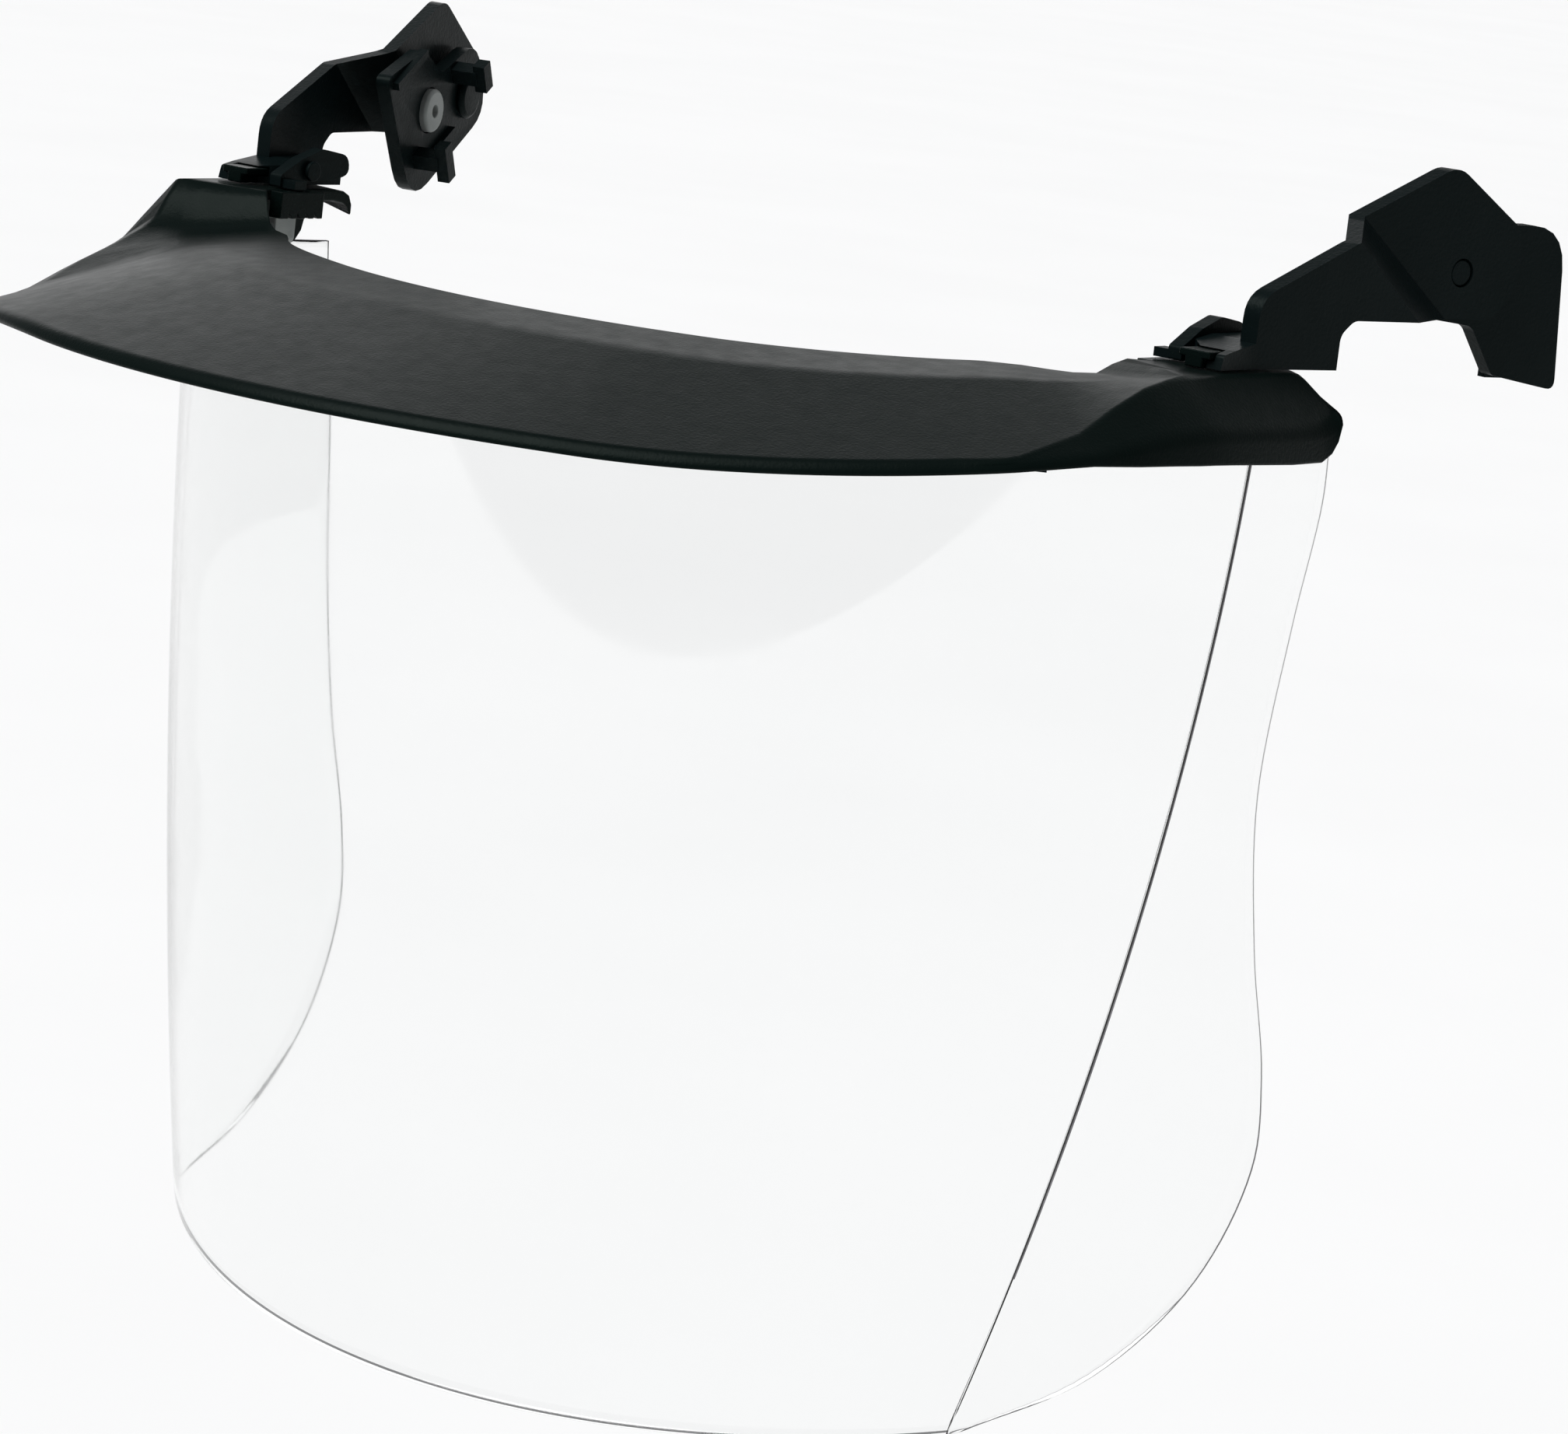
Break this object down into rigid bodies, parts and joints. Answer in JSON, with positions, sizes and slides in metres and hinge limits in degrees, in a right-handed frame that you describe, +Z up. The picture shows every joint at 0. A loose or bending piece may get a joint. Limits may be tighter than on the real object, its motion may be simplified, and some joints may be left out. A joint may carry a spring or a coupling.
{
  "type": "face shield",
  "caption": "Helmet-mounted face shield: black brow guard, bent clear visor sheet, and sliding arms whose pivoting brackets hook into the sides of a safety helmet.",
  "frame": {"origin": "midway between the two bracket pivots, where the shield hangs on a helmet", "axes": "+Z up, the wearer looks along -Y, +X is the wearer's left"},
  "size_m": [0.2636, 0.2222, 0.2444],
  "materials": {
    "guard": "fine-grained matte black",
    "arm_black": "moulded matte black",
    "clear": "clear polished sheet",
    "grey": "moulded grey",
    "steel": "plated"
  },
  "bodies": {
    "frame": {"brow_guard": "guard", "visor_sheet": "clear", "sheet_retainer": "arm_black", "retainer_rivet_1": "steel", "retainer_rivet_2": "steel", "retainer_rivet_3": "steel", "retainer_rivet_4": "steel", "retainer_rivet_5": "steel", "rail_left": "guard", "rack_left": "guard", "wing_clip_left": "grey", "rail_right": "guard", "rack_right": "guard", "wing_clip_right": "grey"},
    "arm_left": {"arm_left": "arm_black", "lever_pin_left": "steel", "pivot_pin_left": "grey", "pivot_washer_left": "steel"},
    "lever_left": {"release_lever_left": "arm_black"},
    "bracket_left": {"helmet_bracket_left": "arm_black", "bracket_insert_left": "grey"},
    "arm_right": {"arm_right": "arm_black", "lever_pin_right": "steel", "pivot_pin_right": "grey", "pivot_washer_right": "steel"},
    "lever_right": {"release_lever_right": "arm_black"},
    "bracket_right": {"helmet_bracket_right": "arm_black", "bracket_insert_right": "grey"}
  },
  "joints": [
    {"name": "arm_slide_left", "type": "slide", "parent": "frame", "child": "arm_left", "axis": [0, 1, 0], "range_m": [-0.006, 0.008]},
    {"name": "release_lever_left", "type": "hinge", "parent": "arm_left", "child": "lever_left", "pos_m": [0.108, -0.0575, -0.0142], "axis": [-1, 0, 0], "range_deg": [0, 6], "stiffness_Nm_per_rad": 0.05, "springref_deg": -5.73},
    {"name": "bracket_pivot_left", "type": "hinge", "parent": "arm_left", "child": "bracket_left", "pos_m": [0.124, 0, 0], "axis": [0.9613, -0.2756, 0], "range_deg": [-152, 15]},
    {"name": "arm_slide_right", "type": "slide", "parent": "frame", "child": "arm_right", "axis": [0, 1, 0], "range_m": [-0.006, 0.008]},
    {"name": "release_lever_right", "type": "hinge", "parent": "arm_right", "child": "lever_right", "pos_m": [-0.108, -0.0575, -0.0142], "axis": [-1, 0, 0], "range_deg": [0, 6], "stiffness_Nm_per_rad": 0.05, "springref_deg": -5.73},
    {"name": "bracket_pivot_right", "type": "hinge", "parent": "arm_right", "child": "bracket_right", "pos_m": [-0.124, 0, 0], "axis": [0.9613, 0.2756, 0], "range_deg": [0, 167]}
  ]
}
